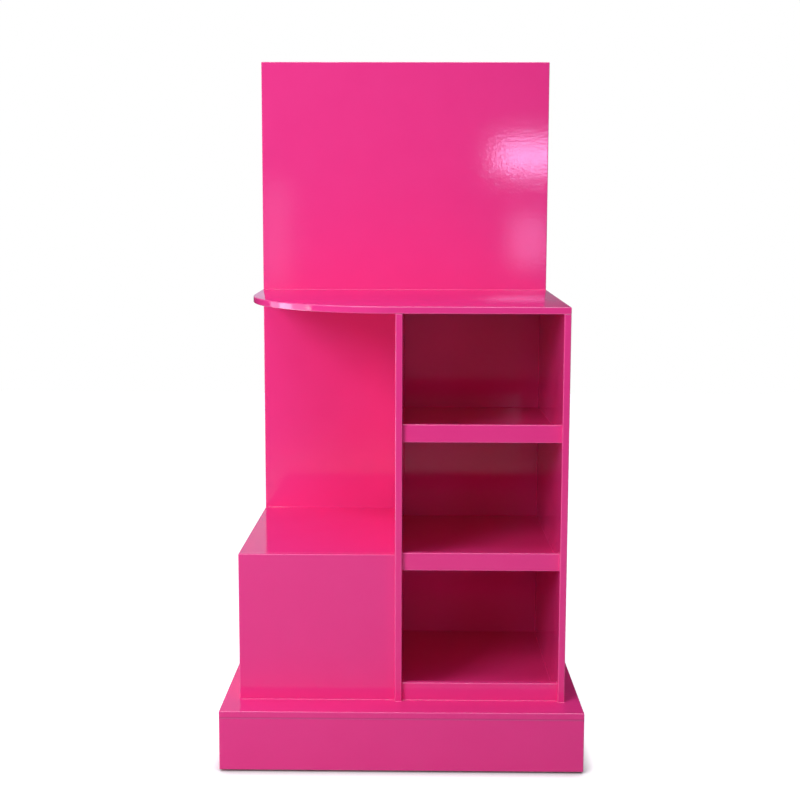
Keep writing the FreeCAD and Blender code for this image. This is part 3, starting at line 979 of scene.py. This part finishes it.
@dataclass
class Studio:
    """Floor, backdrop of plain white, soft boxes and the camera."""

    floor_side: float = 14.0
    floor_colour: str = "#C0C0C0"
    floor_glow: float = 0.9
    floor_roughness: float = 0.9
    floor_specular: float = 0.1
    # painted shade: the floor's glow is dimmed near the stand by ambient occlusion over this reach in metres,
    # raised to this power
    painted_shade_reach: float = 0.035
    painted_shade_power: float = 2.0
    room: float = 0.035
    room_tint: str = "#F0E2FF"
    patches: list[RoomPatch] = field(default_factory=lambda: [
        RoomPatch("ceiling", 0, 90, 25, 60, 0.75),
        RoomPatch("front_low", 0, -5, 20, 60, 0.14),
        RoomPatch("behind_low", 178, 5, 5, 15, 0.26),
        RoomPatch("behind_left", -166, 14, 8, 19, 0.56),
    ])
    lights: list[SoftLight] = field(default_factory=lambda: [
        SoftLight("left_wall", (-3.0, 0.3, 1.3), (0.0, 0.0, 0.9), (2.6, 2.0), 20.0, mirrored=False),
        SoftLight("left_narrow_window", (-3.0, -1.05, 0.74), (-0.2, -0.1, 1.0), (0.2, 0.5), 2.2),
        SoftLight("left_front_box", (-2.0, -2.6, 2.2), (0.0, 0.0, 0.8), (1.2, 1.2), 57.0, mirrored=False),
        SoftLight("front_left_fill", (-1.4, -3.2, 1.3), (0.0, 0.0, 0.9), (0.8, 1.0), 8.0, mirrored=False),
        SoftLight("front_right_fill", (1.4, -3.4, 0.8), (0.0, 0.0, 0.7), (0.8, 1.0), 6.5, mirrored=False),
        SoftLight("ceiling_tubes", (-0.8, -1.4, 3.0), (0.0, -0.1, 0.8), (1.3, 0.3), 16.0, mirrored=False),
        SoftLight("left_reflector", (-0.9, -0.05, 0.52), (0.0, -0.05, 0.52), (0.20, 0.96), 3.6,
                  "#F4E4FF", lights_matt=False),
        SoftLight("left_reflector_rim", (-0.92, -0.05, 0.52), (0.0, -0.05, 0.52), (0.60, 1.02), 7.0,
                  "#F4D8F4", lights_matt=False),
        SoftLight("right_reflector", (0.9, -0.1, 0.52), (0.0, -0.1, 0.52), (0.12, 1.02), 2.5,
                  lights_matt=False),
        SoftLight("ceiling_reflector", (0.0, -0.4, 3.2), (0.0, -0.4, 0.0), (4.0, 3.0), 190.0,
                  lights_matt=False),
        SoftLight("lamp_beside_camera", (0.60, -2.8, 1.59), (0.3, 0.28, 1.34), (0.34, 0.15), 0.045,
                  "#E2C6FF", 24.0),
        SoftLight("pale_thing_beside_camera", (0.60, -2.8, 1.18), (0.3, 0.28, 1.14), (0.18, 0.24), 0.0095,
                  "#E7C4FF", 24.0),
        SoftLight("pale_strip_left_of_camera", (-0.67, -2.8, 1.2), (-0.3, 0.28, 1.15), (0.14, 0.54), 0.0055,
                  "#F0D8FF", 24.0),
    ])
    # the camera, fitted to the photograph's edges: focal length in pixels, angles in radians, place in mm
    focal_px: float = 1223.9
    picture_px: float = 800.0
    sensor: float = 36.0
    pitch: float = 0.11724
    yaw: float = -0.01099
    roll: float = -0.00265
    camera_place: Way = (23.15, -2806.4, 1100.2)

    def build_world(self) -> None:
        """The room that lights the stand from all sides, which the camera sees as plain white."""
        world = bpy.data.worlds.new("studio_room")
        bpy.context.scene.world = world
        world.use_nodes = True
        tree = world.node_tree
        tree.nodes.clear()
        way = add_node(tree, "TexCoord").outputs["Generated"]
        first, *others = (patch.share(tree, way) for patch in self.patches)
        total = add_node(tree, "Math", {"operation": "ADD", 1: self.room}, {0: first})
        for share in others:
            total = add_node(tree, "Math", {"operation": "ADD"}, {0: share, 1: total.outputs[0]})
        room = add_node(tree, "Background", {"Color": linear(self.room_tint)}, {"Strength": total.outputs[0]})
        white = add_node(tree, "Background", {"Color": (1, 1, 1, 1), "Strength": 1.0})
        path = add_node(tree, "LightPath")
        both = add_node(tree, "MixShader", links={0: path.outputs["Is Camera Ray"], 1: room.outputs[0],
                                                  2: white.outputs[0]})
        add_node(tree, "OutputWorld", links={"Surface": both.outputs[0]})

    def build_floor(self) -> None:
        """A plain pale floor that the camera sees as white, with the stand's shadow and a painted shade on
        it.
        """
        half = self.floor_side / 2
        mesh = bpy.data.meshes.new("floor")
        corners = [(-half, -half, 0), (half, -half, 0), (half, half, 0), (-half, half, 0)]
        mesh.from_pydata(corners, [], [(0, 1, 2, 3)])
        floor = bpy.data.objects.new("floor", mesh)
        bpy.context.collection.objects.link(floor)
        material, tree = new_material("pale_floor")
        path = add_node(tree, "LightPath")
        # painted shade: the camera sees the floor's glow dimmed by ambient occlusion under and beside the
        # stand
        shelter = add_node(tree, "AmbientOcclusion", {"Distance": self.painted_shade_reach, "samples": 8})
        open_share = add_node(tree, "Math", {"operation": "POWER", 1: self.painted_shade_power},
                              {0: shelter.outputs["AO"]})
        glow = add_node(tree, "Math", {"operation": "MULTIPLY"},
                        {0: path.outputs["Is Camera Ray"], 1: open_share.outputs[0]})
        level = add_node(tree, "Math", {"operation": "MULTIPLY", 1: self.floor_glow}, {0: glow.outputs[0]})
        shader = add_node(tree, "BsdfPrincipled", {"Base Color": linear(self.floor_colour),
                                                   "Roughness": self.floor_roughness,
                                                   "Specular IOR Level": self.floor_specular,
                                                   "Emission Color": (1, 1, 1, 1)},
                          {"Emission Strength": level.outputs[0]})
        finish_material(tree, shader)
        mesh.materials.append(material)

    def build_lights(self) -> None:
        """Hang each soft box and turn it to what it lights."""
        for light in self.lights:
            lamp = bpy.data.lights.new(light.name, "AREA")
            lamp.shape = "RECTANGLE"
            lamp.size, lamp.size_y = light.size
            lamp.energy = light.watts
            lamp.color = linear(light.colour)[:3]
            lamp.spread = math.radians(light.spread)
            holder = bpy.data.objects.new(light.name, lamp)
            bpy.context.collection.objects.link(holder)
            holder.visible_camera = False
            holder.visible_glossy = light.mirrored
            holder.visible_diffuse = light.lights_matt
            beam = (Vector(light.aim) - Vector(light.place)).to_track_quat("-Z", "Y")
            holder.matrix_world = Matrix.Translation(light.place) @ beam.to_matrix().to_4x4()

    def build_camera(self) -> None:
        """Stand the camera where the photograph was taken from."""
        ahead = Vector((math.sin(self.yaw) * math.cos(self.pitch), math.cos(self.yaw) * math.cos(self.pitch),
                        -math.sin(self.pitch)))
        across = Vector((math.cos(self.yaw), -math.sin(self.yaw), 0.0))
        down = ahead.cross(across)
        right = math.cos(self.roll) * across + math.sin(self.roll) * down
        lower = -math.sin(self.roll) * across + math.cos(self.roll) * down
        camera = bpy.data.cameras.new("camera")
        camera.sensor_width = self.sensor
        camera.lens = self.focal_px / self.picture_px * self.sensor
        holder = bpy.data.objects.new("camera", camera)
        bpy.context.collection.objects.link(holder)
        turned = Matrix((right, -lower, -ahead)).transposed().to_4x4()
        holder.matrix_world = Matrix.Translation(Vector(self.camera_place) * MM) @ turned
        bpy.context.scene.camera = holder

    def build(self) -> None:
        """Set the whole studio up."""
        self.build_world()
        self.build_floor()
        self.build_lights()
        self.build_camera()
        bpy.context.scene.view_settings.view_transform = "Standard"


@dataclass
class Palette:
    """The stand's materials, and which piece is finished with which."""

    hair: float = 0.5
    lacquer: bpy.types.Material = field(init=False)
    flush_lacquer: bpy.types.Material = field(init=False)
    plinth_board: bpy.types.Material = field(init=False)
    steel: bpy.types.Material = field(init=False)
    by_slot: dict[str, bpy.types.Material] = field(init=False)

    def build(self) -> None:
        """Make every material once."""
        lacquer, mdf = SprayLacquer("pink_polyurethane_lacquer"), BareMdf("bare_mdf")
        self.lacquer = lacquer.build()
        # the same lacquer without the painted arris highlight, for joints filled flush and for the fillets
        self.flush_lacquer = SprayLacquer("pink_lacquer_without_painted_highlight", arris_highlight_reach=0.0).build()
        self.steel = ZincPlatedSteel("bright_zinc_steel").build()
        low, high = self.hollow()
        self.plinth_board = OpenPlinthBoard("plinth_board_lacquered_outside", lacquer, mdf, low, high).build()
        self.by_slot = {
            Slot.LACQUER.value: self.lacquer,
            Slot.RAW_BOARD.value: mdf.build(),
            Slot.SOFTWOOD.value: SawnTimber("planed_pine", "#D9B27C", "#A8743F", 5.0).build(),
            Slot.BEECH.value: SawnTimber("steamed_beech", "#C79A70", "#AF7F55", 2.5).build(),
            Slot.NYLON.value: MouldedNylon("black_moulded_nylon").build(),
            Slot.STEEL.value: self.steel,
        }

    def hollow(self) -> tuple[Vector, Vector]:
        """Where the plinth's hollow lies, a hair past its bare faces.

        Returns:
            Its lowest and highest corner in metres.
        """
        deck_low, deck_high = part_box("plinth_deck")
        wall, hair = BOARD * MM, self.hair * MM
        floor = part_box("plinth_front")[0][2]
        low = Vector((deck_low[0] + wall - hair, deck_low[1] + wall - hair, floor + hair))
        high = Vector((deck_high[0] - wall + hair, deck_high[1] - wall + hair, deck_low[2] + hair))
        return low, high

    def dress(self) -> None:
        """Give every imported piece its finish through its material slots."""
        slots = {part["node"]: part["material_slot"] for part in frame["record"]["subparts"]}
        for name, node in frame["nodes"].items():
            material = self.by_slot[slots[name]]
            if name in PLINTH_BOARDS:
                material = self.plinth_board
            elif name in FLUSH_BOARDS:
                material = self.flush_lacquer
            for slot in node.material_slots:
                slot.link = "OBJECT"
                slot.material = material
            log.info("dressed %s with %s", name, material.name)


def main() -> None:
    """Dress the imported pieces, add the detailed ones and set the studio up."""
    logging.basicConfig(level=logging.INFO, format="%(name)s: %(message)s")
    palette = Palette()
    palette.build()
    palette.dress()
    worktop = Worktop()
    pieces = [BackScrews().build(palette.steel), worktop.build(palette.lacquer)]
    pieces += LacquerFillets(worktop).build(palette.flush_lacquer)
    for piece in pieces:
        log.info("made %s with %d faces", piece.name, len(piece.data.polygons))
    Studio().build()


if __name__ == "__main__":
    main()
